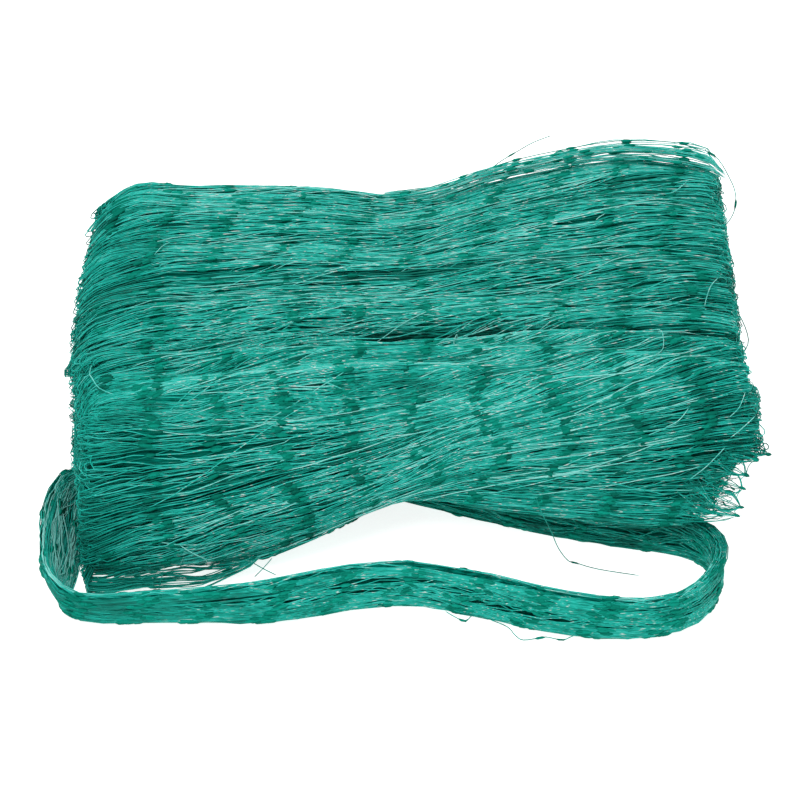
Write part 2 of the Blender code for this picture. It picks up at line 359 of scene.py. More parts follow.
def near_drift(x, home):
    """The near stack's strands climb from the waist to the right, and drop to the left: most of all those
    that come over its top and those low on its front."""
    right = np.maximum(0.0, x - WAIST)
    climb = CLIMB * right**2 / (right + 24.0) * rising(home, 18.0, 36.0)
    middle = rising(home, 10.0, 14.0) * (1 - rising(home, 44.0, 18.0))
    waist = (WAIST_RISE * rising(x, -14.0, 30.0) - WAIST_DIP * bump(x, -12.0, 20.0)) * middle
    left = np.maximum(0.0, -58.0 - x)
    corner = np.maximum(0.0, -88.0 - x)
    low = (LEFT_DROP * left**2 / (left + 8.0) + CORNER_DROP * corner) * (1 - rising(home, 50.0, 18.0))
    bulge = LEFT_BULGE * falling(x, -12.0, 45.0) * bump(home, 70.0, 14.0)
    over = TOP_SLIP[0] * falling(x, -10.0, 95.0) + TOP_SLIP[1] * np.clip((-25.0 - x) / 80.0, 0, 1.1) ** 1.3
    return climb + waist + bulge - low - over * rising(home, 83.0, 20.0)


NEAR_WIDTH = 38.0          # widths on which places across the stacks are measured
FAR_WIDTH = 90.0
SEAM_DROP = 10.0           # how far the skin's strands go down into the seam
UNDER = 24.0               # how far they go on under the stack
NEAR = Stack(
    place_near, NEAR_WIDTH,
    ((UNDER, GROUND, 0), (0, GROUND, 3.0), (0, TOP, 8.0),
     (NEAR_WIDTH, TOP, 2.5), (NEAR_WIDTH, TOP - SEAM_DROP, 0)),
    NEAR_RIGHT, NEAR_LEFT, NEAR_WRAP, near_drift,
)
FAR = Stack(
    place_far, FAR_WIDTH,
    ((0, TOP - SEAM_DROP, 0), (0, TOP, 2.5), (FAR_WIDTH, TOP, 8.0),
     (FAR_WIDTH, GROUND, 3.0), (FAR_WIDTH - UNDER, GROUND, 0)),
    FAR_RIGHT, FAR_LEFT, FAR_WRAP, far_drift,
)

OUTER_TURN = PITCH / 2 + THICK / 2
RIGHT_LEVELS = [OUTER_TURN + 2 * PITCH * fold for fold in range(PASSES // 2)]
LEFT_LEVELS = [THICK / 2] + [OUTER_TURN + PITCH + 2 * PITCH * fold for fold in range(PASSES // 2 - 1)]
TURN_ANGLES = np.radians((0.0, 35.0, 70.0, 105.0, 140.0, 175.0))
WRAP_CENTRE_H = THICK / 2 + PITCH * (PASSES - 1) - WRAP_BEND
WRAP_LEVELS = (50.0, 55.0, TOP)
BARS = 13                  # mesh bars along a strand


# ================================================================ strands along the skin
def wave_set(rng, index, sizes):
    """Random slow waves, one for each value of index, from (height, length) pairs."""
    count = index.max() + 1
    return [
        (rng.normal(0, height, count)[index][:, None],
         (length * rng.uniform(0.75, 1.35, count))[index][:, None],
         rng.uniform(0, 2 * math.pi, count)[index][:, None])
        for height, length in sizes
    ]


def summed(parts, x):
    return sum(height * np.sin(2 * math.pi * x / length + phase) for height, length, phase in parts)


def waves(rng, index, x, *sizes):
    return summed(wave_set(rng, index, sizes), x)


def between_steps(table, place):
    """Values of each row of a table at places between its columns."""
    place = np.clip(place, 0, table.shape[1] - 1.001)
    column = place.astype(int)
    rows = np.arange(len(table))[:, None]
    return table[rows, column] + (place - column) * (table[rows, column + 1] - table[rows, column])


LOCK_WAVES = ((0.8, 120.0), (0.45, 50.0))          # height and length of the locks' slow waves sideways
STRAND_WAVES = ((0.5, 85.0), (0.27, 36.0))         # and of each strand's own
LOCK_DIPS = ((0.42, 110.0), (0.26, 42.0))          # the same in depth
STRAND_DIPS = ((0.22, 48.0),)
DRAWN = 0.34               # how far the strands are drawn together in pairs at the knots
KNOT_SHADE = 0.17          # how much darker they are there


class Locks:
    """Strands of one sublayer of the skin, grouped in locks that lie at their own small angles."""

    def __init__(self, rng, start, end, layer, drift, knot_rows, angle):
        self.rng = rng
        self.drift = drift
        depth, density, self.steps = layer
        self.count = count = int((end - start) * density)
        home = np.sort(rng.uniform(start, end, count))
        breaks = np.cumsum(rng.uniform(0.3, 1.7, count) * LOCK_STRANDS)
        lock = np.searchsorted(breaks, np.arange(count))
        own = np.arange(count)
        locks = lock.max() + 1
        self.home = home[:, None]
        self.slope = (rng.normal(0, angle, locks)[lock] + rng.normal(0, angle * 0.9, count))[:, None]
        self.pivot = rng.uniform(-90, 90, locks)[lock][:, None]
        self.sway = wave_set(rng, lock, LOCK_WAVES) + wave_set(rng, own, STRAND_WAVES)
        self.dip = wave_set(rng, lock, LOCK_DIPS) + wave_set(rng, own, STRAND_DIPS)
        self.depth = depth + rng.normal(0, 0.2, (count, 1))
        uneven = rng.normal(0, 0.9, locks)[lock]
        self.knot_phase = (knot_rows(home) + uneven + rng.normal(0, 0.5, count))[:, None]
        self.first = self.knot_phase - BAR * (BARS // 2)
        columns = np.arange(BARS * self.steps + 1)
        at_knot = columns % self.steps == 0
        pairing = np.where((own[:, None] + columns // self.steps) % 2, DRAWN, -DRAWN)
        bar = np.broadcast_to(columns / self.steps, pairing.shape)
        self.bows = np.where(at_knot, pairing, pairing / 3 + rng.normal(0, 0.2, pairing.shape)) \
            + between_steps(rng.normal(0, BAR_SPREAD[0], (count, BARS + 1)), bar)
        self.bends = np.where(at_knot, 0.1, rng.normal(0, 0.16, pairing.shape)) \
            + between_steps(rng.normal(0, BAR_SPREAD[1], (count, BARS + 1)), bar)
        self.knot_tone = np.where(at_knot, -KNOT_SHADE, 0.0)
        self.shift = (rng.normal(0, 0.8, locks)[lock] - np.abs(rng.normal(0, 2.0, count)) + 1.1)[:, None]
        self.turn = 0.6 + 3.6 * rng.uniform(0, 1, (count, 1)) ** 2.5
        self.lean = rng.normal(0, 1.3, (count, 1))
        self.tone = (rng.normal(0, 0.05, locks)[lock] + rng.normal(0, 0.08, count))[:, None]

    def grid(self):
        """Places along x of every knot and the steps between them."""
        return self.first + BAR / self.steps * np.arange(BARS * self.steps + 1)

    def step_at(self, x):
        return (x - self.first) * self.steps / BAR

    def along(self, x):
        """Place along the skin line, at every x."""
        straight = self.home + self.slope * (x - self.pivot) + self.drift(x, self.home)
        return straight + summed(self.sway, x) + between_steps(self.bows, self.step_at(x))

    def deep(self, x):
        uneven = summed(self.dip, x) + between_steps(self.bends, self.step_at(x))
        return np.maximum(0.0, self.depth + uneven * (1 - 0.5 * falling(x, -62.0, 25.0)))


SEAM_SHADE = 0.6           # painted shade: how much darker the strands are in the openings of the seam
END_SHADE = 0.085          # painted shade at the ends
LOW_SHADE = 0.09           # and painted shade on the near stack's front, to the right
END_HIGHLIGHT = 0.07            # how much paler, as a painted highlight, where they turn towards the light before the left end
# how much shorter the near stack's front strands are at the right than its folds: height, by how much
RIGHT_SHORT = ((3.0, 12.5), (12.0, 11.8), (21.5, 8.0), (26.5, -1.2), (36.0, 3.5), (56.0, 4.3))
FAR_SHORT = 1.6            # and the far stack's, near its top
WRAP_SHORT = (0.5, 2.6)    # how much shorter the layer over the left end is than its fold, far and near
WRAP_REACH = (-101.0, -97.0)       # x of the end of that layer higher up
END_LOOK = 88.0            # x where a strand's height decides how far its ends reach
END_CLEAR = 1.5            # between its last point on the skin and its turn
TUCK = 8.0                 # how far it runs back inside


def shade(stack, x, along):
    """Painted shade on the strands: how much darker they are down in the seam, towards the ends and low on
    the near stack's front to the right, less a painted highlight before the left end.
    """
    down = np.where(stack is NEAR, along - (stack.length - SEAM_DROP), SEAM_DROP + 1.5 - along)
    ends = falling(x, -68.0, 28.0) + 0.9 * rising(x, 60.0, 40.0)
    painted_highlight = END_HIGHLIGHT * bump(x, -72.0, 9.0)
    low = LOW_SHADE * rising(x, 20.0, 40.0) * falling(along, 70.0, 24.0) * (stack is NEAR)
    return SEAM_SHADE * rising(down, 0.0, 4.0) * slit(x, 0.0) + END_SHADE * ends + low - painted_highlight


def right_short(height):
    levels, shorter = zip(*RIGHT_SHORT)
    return np.interp(height, levels, shorter)


def right_reach(stack, across, height):
    """x where the strands end at the right."""
    if stack is NEAR:
        short = right_short(height) * np.maximum(1 - rising(across, 14.0, 14.0),
                                                 rising(height, 42.0, 8.0))
    else:
        short = FAR_SHORT * rising(height, 48.0, 6.0)
    return np.interp(height, RIGHT_LEVELS, stack.rights) - short


def left_reach(stack, height):
    """x where the strands end at the left: at their folds, or under the layer that wraps down over them."""
    folds = np.interp(height, LEFT_LEVELS, [FREE_END - 6.0, *stack.lefts])
    wrapped = np.interp(height, WRAP_LEVELS, (stack.wrap[0] + WRAP_SHORT[stack is NEAR], *WRAP_REACH))
    return np.where(height > stack.wrap[1], wrapped, folds)


def skin_paths(stack, locks, base_tone):
    """Paths and tones of the strands from end to end: they turn in at both, or wrap down at the top left."""

    def at(x, more_along=0.0, more_depth=0.0):
        along = np.clip(locks.along(x) + more_along, 0, stack.length)
        return stack.section(along, locks.deep(x) + more_depth)

    look = np.full((locks.count, 1), END_LOOK)
    right_end = right_reach(stack, *at(look)) + locks.shift
    left_end = left_reach(stack, at(-look)[1]) - locks.shift
    on_top = stack.faces_up(np.clip(locks.along(-look), 0, stack.length))
    wrap_centre = stack.wrap[0] + WRAP_SHORT[stack is NEAR] + THICK / 2 + WRAP_BEND - locks.shift
    right_centre = right_end - locks.turn
    left_centre = np.where(on_top, wrap_centre, left_end + locks.turn)
    grid = locks.grid()
    inside = (grid > left_centre + END_CLEAR) & (grid < right_centre - END_CLEAR)
    middle = stack.points(grid, *at(grid))
    # each strand's own tone, darker at the knots, less the painted shade and plus the painted highlight from
    # shade()
    tones = base_tone + locks.tone + locks.knot_tone - shade(stack, grid, locks.along(grid))

    # the right ends turn in, round a small bend, and run back inside
    x = np.concatenate((right_centre + locks.turn * np.sin(TURN_ANGLES), right_centre - TUCK), axis=1)
    inward = np.concatenate((locks.turn * (1 - np.cos(TURN_ANGLES)), 2 * locks.turn + 0.4), axis=1)
    slant = locks.lean * np.linspace(0, 1, x.shape[1])
    right = stack.points(x, *at(right_centre + 0 * x, slant, inward))

    # so do the left ends, but the top layer bends down over the end before it turns in
    x = np.concatenate((left_centre - locks.turn * np.sin(TURN_ANGLES), left_centre + TUCK), axis=1)
    across, height = at(left_centre + 0 * x, slant, inward)
    bend = np.maximum(height[:, :1] - WRAP_CENTRE_H, 1.0)
    last = np.radians(locks.rng.uniform(20, 75, (locks.count, 1)))
    curl = np.minimum(locks.turn, 2.0)
    over = last * (0, 0.33, 0.67, 1)
    under = last + np.radians((50.0, 100.0, 150.0))
    inner = bend - curl
    wrap_x = wrap_centre - np.concatenate(
        (bend * np.sin(over), inner * np.sin(last) + curl * np.sin(under)), axis=1)
    wrap_h = WRAP_CENTRE_H + np.concatenate(
        (bend * np.cos(over), inner * np.cos(last) + curl * np.cos(under)), axis=1)
    left = stack.points(np.where(on_top, wrap_x, x), np.where(on_top, across[:, :1] + slant, across),
                        np.where(on_top, wrap_h, height))[:, ::-1]
    paths, shades = [], []
    for i, keep in enumerate(inside):
        paths.append(np.concatenate((left[i], middle[i][keep], right[i])))
        shades.append(np.pad(tones[i][keep], (len(left[i]), len(right[i])), "edge"))
    return paths, shades


KNOT_SHAPE = (-0.5, -0.2, 0.2, 0.5)
KNOT_RADII = (0.25, 1.0, 0.9, 0.25)
KNOT_REACH = (-97, 92)     # x between which the skin's knots lie


def knots_on(stack, locks, keep):
    """Middle lines and tones of the knots along the locks' strands."""
    spindles, tones = [], []
    for number in range(-(BARS // 2), BARS // 2 + 1):
        middle = locks.knot_phase + BAR * number
        inside = (middle > KNOT_REACH[0]) & (middle < KNOT_REACH[1])
        clusters = keep + 0.32 * np.sin(2 * math.pi * locks.home / 15.0 + locks.rng.uniform(0, 6))
        chosen = (inside & (locks.rng.uniform(0, 1, inside.shape) < clusters))[:, 0]
        slant = locks.rng.normal(0, 0.25, (locks.count, 1))
        x = middle + np.array(KNOT_SHAPE) * KNOT_LONG * locks.rng.uniform(0.75, 1.25, (locks.count, 1))
        along = np.clip(locks.along(x) + slant * np.array(KNOT_SHAPE), 0, stack.length)
        spindles.append(stack.points(x, *stack.section(along, locks.deep(x) + 0.05))[chosen])
        # the knots' tones take twice the painted shade from shade()
        tones.append((0.5 + 2 * locks.tone - 2 * shade(stack, middle, locks.along(middle)))[chosen][:, 0])
    return np.concatenate(spindles), np.concatenate(tones)


# ================================================================ making pieces
def add_object(name, data):
    item = bpy.data.objects.new(name, data)
    bpy.context.collection.objects.link(item)
    return item


def add_piece(name, mesh, material):
    """A finished piece of the netting."""
    mesh.shade_smooth()
    mesh.materials.clear()
    mesh.materials.append(bpy.data.materials[material])
    piece = add_object(name, mesh)
    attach(piece, "root")
    return piece


SIDES = 3
SECTION_FULLER = 1.15      # a three-sided strand is drawn fuller, so that it looks as wide as a round one
UV_COLUMNS = 8


def triangle_section(name, radius):
    """The strands' three-sided section, as a bevel for their curves."""
    curve = bpy.data.curves.new(name, "CURVE")
    curve.dimensions = "2D"
    spline = curve.splines.new("POLY")
    spline.points.add(2)
    for point, angle in zip(spline.points, (90, 210, 330)):
        spot = radius * math.cos(math.radians(angle)), radius * math.sin(math.radians(angle))
        point.co = (*spot, 0, 1)
    spline.use_cyclic_u = True
    return add_object(name, curve)


def strand_piece(name, paths, tones, diameter=STRAND, radii=None, material="green_strand"):
    """One mesh of many thin tubes: paths are arrays of (points, 3) in mm; tones, one or many for each."""
    section = triangle_section(name + "_section", diameter / 2 * SECTION_FULLER * MM)
    curve = bpy.data.curves.new(name, "CURVE")
    curve.dimensions = "3D"
    curve.bevel_mode = "OBJECT"
    curve.bevel_object = section
    for number, path in enumerate(paths):
        count = len(path)
        spline = curve.splines.new("POLY")
        spline.points.add(count - 1)
        spots = np.ones((count, 4), np.float32)
        spots[:, :3] = path * MM
        spline.points.foreach_set("co", spots.ravel())
        spline.points.foreach_set("radius", radii[number] if radii else [0.1] + [1.0] * (count - 2) + [0.1])
    item = add_object(name, curve)
    graph = bpy.context.evaluated_depsgraph_get()
    mesh = bpy.data.meshes.new_from_object(item.evaluated_get(graph), depsgraph=graph)
    bpy.data.objects.remove(item)
    bpy.data.curves.remove(curve)
    bpy.data.objects.remove(section)
    mesh.name = name
    values = np.concatenate([np.broadcast_to(tone, len(path)) for tone, path in zip(tones, paths)])
    values = np.repeat(values, SIDES)
    if len(values) != len(mesh.vertices):
        raise RuntimeError(f"{name}: {len(mesh.vertices)} vertices where {len(values)} were made")
    attribute = mesh.attributes.new("tone", "FLOAT", "POINT")
    attribute.data.foreach_set("value", values.astype(np.float32))
    lay_strips(mesh, np.array([len(path) for path in paths]))
    return add_piece(name, mesh, material)


def lay_strips(mesh, counts):
    """A UV map with a strip of its own for each strand, in a grid of columns and rows."""
    rows = math.ceil(len(counts) / UV_COLUMNS)
    strand = np.repeat(np.arange(len(counts)), counts * SIDES)
    first = np.concatenate(([0], np.cumsum(counts * SIDES)))[:-1]
    within = np.arange(len(strand)) - first[strand]
    point, side = within // SIDES, within % SIDES
    loops = np.empty(len(mesh.loops), np.int32)
    mesh.loops.foreach_get("vertex_index", loops)
    corners = side[loops].astype(float).reshape(-1, 4)
    wraps = (np.ptp(corners, axis=1, keepdims=True) == SIDES - 1) & (corners == 0)
    loop_side = np.where(wraps, SIDES, corners).ravel()
    number = strand[loops]
    column, row = number % UV_COLUMNS, number // UV_COLUMNS
    share = point[loops] / (counts[number] - 1)
    u = (column + 0.01 + 0.98 * share) / UV_COLUMNS
    v = (row + 0.12 + 0.76 * loop_side / SIDES) / rows
    layer = mesh.uv_layers.new(name="OFBake")
    layer.data.foreach_set("uv", np.stack((u, v), axis=-1).astype(np.float32).ravel())


# ================================================================ materials
STRAND_STOPS = (
    (0.00, (0.001, 0.070, 0.052)),
    (0.28, (0.003, 0.185, 0.140)),
    (0.50, (0.006, 0.350, 0.277)),
    (0.72, (0.032, 0.462, 0.390)),
    (1.00, (0.230, 0.620, 0.565)),
)
KNOT_STOPS = (
    (0.00, (0.001, 0.085, 0.060)),
    (0.50, (0.001, 0.168, 0.117)),
    (1.00, (0.003, 0.262, 0.190)),
)
# the core's colours: dark green, painted shade for the inside of the bundle
CORE_STOPS = (
    (0.38, (0.000, 0.040, 0.029)),
    (0.62, (0.001, 0.150, 0.110)),
)
# the glints' colour: a painted highlight mixed into the strands' base colour
GLINT = (0.50, 0.62, 0.59)
GLINT_BAND = (0.67, 0.76)      # of the noise that makes them, and the tones of strand that show them
GLINT_TONES = (0.38, 0.62)
PATCHES = 0.5                  # how much tone the slow patches and the short dark lines take or give; these lines are partly the strands' own uneven tone and partly painted shade between them
FLECKS = 0.58
KNOT_FLECKS = 0.5
PATCH_SCALE = (60.0, 200.0, 200.0)
FLECK_SCALE = (230.0, 1900.0, 1900.0)
GLINT_SCALE = (330.0, 3000.0, 3000.0)
CORE_SCALE = (40.0, 1900.0, 1900.0)
CALM_END = (-0.102, -0.060)    # metres along X between which the strands go from calm to lively: the painted glints and the short lines fade in


def new_material(name, roughness, specular):
    material = bpy.data.materials.new(name)
    material.use_nodes = True
    tree = material.node_tree
    shader = tree.nodes["Principled BSDF"]
    shader.inputs["Roughness"].default_value = roughness
    shader.inputs["Specular IOR Level"].default_value = specular
    return tree, shader


def add_node(tree, kind, inputs, **settings):
    """A node with its settings; each of its inputs is given a value or linked to another node's output."""
    node = tree.nodes.new("ShaderNode" + kind)
    for name, value in settings.items():
        setattr(node, name, value)
    for socket, value in inputs.items():
        if isinstance(value, bpy.types.NodeSocket):
            tree.links.new(value, node.inputs[socket])
        else:
            node.inputs[socket].default_value = value
    return node


def ramp_node(tree, stops, value):
    node = add_node(tree, "ValToRGB", {"Fac": value})
    ramp = node.color_ramp
    while len(ramp.elements) > 1:
        ramp.elements.remove(ramp.elements[-1])
    ramp.elements[0].position, ramp.elements[0].color = stops[0][0], (*stops[0][1], 1)
    for place, colour in stops[1:]:
        ramp.elements.new(place).color = (*colour, 1)
    return node.outputs["Color"]


def scaled_noise(tree, scale, detail):
    """Noise stretched along the strands, in object coordinates."""
    where = add_node(tree, "TexCoord", {}).outputs["Object"]
    place = add_node(tree, "Mapping", {"Vector": where, "Scale": scale}).outputs["Vector"]
    return add_node(tree, "TexNoise", {"Vector": place, "Scale": 1.0, "Detail": detail}).outputs["Fac"]


def math_node(tree, operation, *values):
    return add_node(tree, "Math", dict(enumerate(values)), operation=operation).outputs[0]


def band(tree, value, low, high):
    """0 below low and 1 above high."""
    return add_node(tree, "MapRange", {0: value, 1: low, 2: high}).outputs[0]


def strand_material(name):
    """Monofilament: each strand's own tone, with slow patches, short dark lines that are partly painted
    shade between strands, and short pale glints that are painted highlights.
    """
    tree, shader = new_material(name, roughness=0.45, specular=0.08)
    tone = add_node(tree, "Attribute", {}, attribute_name="tone").outputs["Fac"]
    slow = scaled_noise(tree, PATCH_SCALE, detail=2.0)
    fine = scaled_noise(tree, FLECK_SCALE, detail=1.0)
    glint = scaled_noise(tree, GLINT_SCALE, detail=0.0)
    where = add_node(tree, "TexCoord", {}).outputs["Object"]
    # lively scales the painted glints and the short lines, partly painted shade, down towards the left end
    lively = band(tree, add_node(tree, "SeparateXYZ", {0: where}).outputs[0], *CALM_END)
    strength = math_node(tree, "MULTIPLY_ADD", lively, 0.5 * FLECKS, 0.5 * FLECKS)
    total = math_node(tree, "MULTIPLY_ADD", slow, PATCHES, tone)
    total = math_node(tree, "MULTIPLY_ADD", math_node(tree, "SUBTRACT", fine, 0.5), strength, total)
    total = math_node(tree, "SUBTRACT", total, PATCHES / 2)
    # painted highlights: pale where the glint noise is high, on strands of middle and high tone
    lit = math_node(tree, "MULTIPLY", band(tree, glint, *GLINT_BAND), band(tree, total, *GLINT_TONES))
    lit = math_node(tree, "MULTIPLY", lit, lively)
    colours = {0: lit, 6: ramp_node(tree, STRAND_STOPS, total), 7: (*GLINT, 1)}
    tree.links.new(add_node(tree, "Mix", colours, data_type="RGBA").outputs[2], shader.inputs["Base Color"])


def knot_material(name):
    """Knots: pressed flat and matt, darker than the strands."""
    tree, shader = new_material(name, roughness=0.7, specular=0.03)
    tone = add_node(tree, "Attribute", {}, attribute_name="tone").outputs["Fac"]
    uneven = scaled_noise(tree, FLECK_SCALE, detail=2.0)
    total = math_node(tree, "MULTIPLY_ADD", uneven, KNOT_FLECKS, tone)
    total = math_node(tree, "SUBTRACT", total, KNOT_FLECKS / 2)
    tree.links.new(ramp_node(tree, KNOT_STOPS, total), shader.inputs["Base Color"])


def core_material(name):
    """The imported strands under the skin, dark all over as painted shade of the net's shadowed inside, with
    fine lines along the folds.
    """
    tree, shader = new_material(name, roughness=0.9, specular=0.0)
    lines = scaled_noise(tree, CORE_SCALE, detail=3.0)
    uneven = add_node(tree, "Bump", {"Strength": 0.8, "Distance": 0.0004, "Height": lines})
    tree.links.new(ramp_node(tree, CORE_STOPS, lines), shader.inputs["Base Color"])
    tree.links.new(uneven.outputs["Normal"], shader.inputs["Normal"])


# ================================================================ pieces
CORE_DRAWN = 1.6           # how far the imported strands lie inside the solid, and further at its ends
END_DRAWN = 5.5


def draw_in(spots):
    """The band's places drawn in further at its ends, behind its loose layers and under the slits."""
    x, y, z = spots.T
    seam, near, far = station(x, "seam"), station(x, "near"), station(x, "far")
    height = z / station(x, "crown") * TOP
    across_near = np.clip((y - near) / (seam - near), 0, 1)
    across_far = np.clip((y - seam) / (far - seam), 0, 1)
    length, loop = LOOP_CURVE
    away = np.hypot(x[:, None] - loop[:, 0], y[:, None] - loop[:, 1])
    height_there, lean_there = loop_values(length[away.argmin(axis=1)], "height", "lean")
    bundle = (away.min(axis=1) > LOOP_THICK + lean_there) | (z > height_there + 1)
    short = np.where(x > 0, right_short(height), 0.0) * (1 - rising(y - near, 16.0, 14.0))
    ends = np.sign(x) * rising(np.abs(x), 74.0, 18.0) * (END_DRAWN + short)
    back = back_slack(x, across_far, height)
    middle = slit(x, y - seam) * high(height)
    slack = front_slack(x, across_near, height)
    shift = np.stack((-ends, slack - SLACK_IN * back, -SLACK_DOWN * back - 7 * middle), axis=-1)
    return np.where(bundle[:, None], spots + shift, spots)


def make_core():
    """The folded band under the strands: the solid's own folds, drawn in a little."""
    source = bpy.data.objects[NODE]
    mesh = bmesh.new()
    mesh.from_mesh(source.data)
    bmesh.ops.remove_doubles(mesh, verts=mesh.verts[:], dist=0.00001)
    mesh.normal_update()
    mesh.verts.ensure_lookup_table()
    normals = np.array([vert.normal[:] for vert in mesh.verts])
    spots = np.array([vert.co[:] for vert in mesh.verts]) / MM - CORE_DRAWN * normals
    for vert, spot in zip(mesh.verts, draw_in(spots)):
        vert.co = Vector(spot) * MM
    data = bpy.data.meshes.new("folded_band")
    mesh.to_mesh(data)
    mesh.free()
    piece = add_piece("folded_band", data, "net_in_painted_shade")
    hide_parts(NODE)
    return piece


def knot_row_line(rng, waves=((3.4, 70.0), (2.4, 31.0), (1.3, 13.0))):
    """How the rows of knots wander along the skin line."""
    parts = [(height, length * rng.uniform(0.8, 1.2), rng.uniform(0, 2 * math.pi))
             for height, length in waves]
    return lambda along: KNOT_ROW + summed(parts, along)


def knot_piece(name, spindles, rng, wide=KNOT_WIDE, tones=0.45):
    """Knots of uneven sizes and tones, from their middle lines."""
    radii = [tuple(r * size for r in KNOT_RADII) for size in rng.uniform(0.6, 1.1, len(spindles))]
    tones = tones + rng.uniform(-0.3, 0.3, len(spindles))
    return strand_piece(name, spindles, tones, wide, radii, "green_knot")


def net_pieces(name, paths, spindles, rng, strands, knots):
    """A loose part: strands gives tone, its spread and diameter; knots gives width and, if need be, tone."""
    tone, spread, diameter = strands
    tones = rng.normal(tone, spread, len(paths))
    return [
        strand_piece(name + "_strands", paths, tones, diameter),
        knot_piece(name + "_knots", spindles, rng, *knots),
    ]


def dress(stack, name, seed, start, end, angle):
    """The skin of a stretch of a stack's section line, with its knots."""
    rng = np.random.default_rng(seed)
    knot_rows = knot_row_line(rng)
    pieces, spindles, knot_tones = [], [], []
    for part, tone, layers in SKIN_LAYERS:
        paths, tones = [], []
        for layer in layers:
            locks = Locks(rng, start, end, layer, stack.drift, knot_rows, angle)
            more_paths, more_tones = skin_paths(stack, locks, tone)
            paths.extend(more_paths)
            tones.extend(more_tones)
            if part == "outer":
                more_spindles, more_tones = knots_on(stack, locks, KNOT_SHARE)
                spindles.append(more_spindles)
                knot_tones.append(more_tones)
        pieces.append(strand_piece(f"{name}_{part}_strands", paths, tones))
    spindles, knot_tones = np.concatenate(spindles), np.concatenate(knot_tones)
    pieces.append(knot_piece(name + "_knots", spindles, rng, KNOT_WIDE, knot_tones))
    return pieces


def hairpins(stack, name, seed, side, count, radii=(0.9, 3.6), proud=0.6, diameter=STRAND, tone=0.42):
    """Loose turns that fill one end of a stack."""
    rng = np.random.default_rng(seed)
    height = rng.uniform(3.0, TOP - 3, count)
    across = rng.uniform(3.0, stack.width - 2.5, count)
    radius = rng.uniform(*radii, count)[:, None]
    reach = right_reach(stack, across, height) if side > 0 else left_reach(stack, height)
    centre = reach[:, None] - side * (radius + np.abs(rng.normal(0, 1.6, (count, 1))) - proud)
    leg = rng.uniform(6, 14, (count, 1))
    facing = rng.uniform(0, 2 * math.pi, (count, 1))
    angles = np.radians((0.0, 45.0, 90.0, 135.0, 180.0))
    uneven = radius * rng.uniform(0.75, 1.25, (count, 5))
    leg_end = centre - side * leg
    x = np.concatenate((leg_end, centre + side * uneven * np.sin(angles), leg_end), axis=1)
    swing = np.concatenate((radius * 0.8, uneven * np.cos(angles), -radius * 0.8), axis=1)
    a = across[:, None] + swing * np.cos(facing) + rng.normal(0, 0.3, x.shape)
    h = height[:, None] + swing * np.sin(facing) + rng.normal(0, 0.3, x.shape)
    paths = stack.points(x, np.clip(a, 0.2, stack.width), np.clip(h, 0.3, TOP - 0.3))
    return strand_piece(name, paths, rng.normal(tone, 0.12, count), diameter)


def crossers(stack, name, seed, count, homes, span=(-93.0, 93.0), tone=0.74, sunk=-0.15):
    """Single strands that climb across the others to the right, and go down between them at both ends."""
    rng = np.random.default_rng(seed)
    half = rng.uniform(10, 42, (count, 1))
    middle = span[0] + half + rng.uniform(0, 1, (count, 1)) * (span[1] - span[0] - 2 * half)
    t = np.linspace(-1, 1, 10)
    x = middle + half * t
    home = rng.uniform(*homes, (count, 1))
    slope = rng.normal(0.03 if stack is NEAR else 0.11, 0.13, (count, 1))
    slope *= np.where(rng.uniform(0, 1, (count, 1)) < 0.2, 1.8, 1.0) * np.where(home > 105, -0.6, 1.0)
    bow = rng.normal(0, 1.2, (count, 1))
    along = home + slope * half * t + bow * t**2 + stack.drift(x, home) + rng.normal(0, 0.15, x.shape)
    depth = 2.8 * t**6 + sunk + rng.normal(0, 0.12, x.shape)
    paths = stack.points(x, *stack.section(np.clip(along, 0, stack.length), depth))
    return strand_piece(name, paths, rng.normal(tone, 0.13, count), THIN_STRAND)


def bridges(count=30):
    """Single strands that lie from the near stack's top over the seam onto the far one."""
    rng = np.random.default_rng(55)
    long = rng.uniform(24, 60, (count, 1))
    start = -92 + rng.uniform(0, 1, (count, 1)) * (180 - long)
    t = np.linspace(0, 1, 9)
    x = start + long * t
    seam = station(x, "seam")
    y = -rng.uniform(1.5, 7, (count, 1)) + rng.uniform(5, 13, (count, 1)) * t
    share_near = y / (seam - station(x, "near"))
    share_far = y / (station(x, "far") - seam)
    on_near = place_near(x, np.clip(1 + share_near, 0, 1), TOP, 0.0)[..., 2]
    on_far = place_far(x, np.clip(share_far, 0, 1), TOP, 0.0)[..., 2]
    z = np.where(y < 0, on_near, on_far) + 0.25 - 2.2 * (2 * t - 1) ** 6 + rng.normal(0, 0.08, x.shape)
    paths = np.stack((x, seam + y, z), axis=-1)
    return strand_piece("seam_bridges", paths, rng.normal(0.72, 0.12, count), THIN_STRAND)


def seam_strands(count=90):
    """Dark strands that lie deep down between the two stacks, darkened as painted shade."""
    rng = np.random.default_rng(56)
    x = np.linspace(-103.0, 96.0, 12)[None, :] + rng.uniform(-2, 2, (count, 1))
    y = station(x, "seam") + rng.uniform(-2.2, 2.2, (count, 1)) + rng.normal(0, 0.5, x.shape)
    z = rng.uniform(6.0, 38.0, (count, 1)) + rng.normal(0, 1.0, x.shape)
    return strand_piece("seam_strands", np.stack((x, y, z), axis=-1), rng.normal(0.12, 0.05, count))


def knots_between(rng, paths, chance):
    """Short pieces of the paths, one at about every mesh bar, for their knots."""
    spindles = []
    for path in paths:
        middles = np.arange(rng.uniform(1, BAR * 0.6), lengths_along(path)[-1] - 2, BAR * 0.9)
        spindles += knots_at(path, [middle for middle in middles if rng.uniform() < chance])
    return spindles


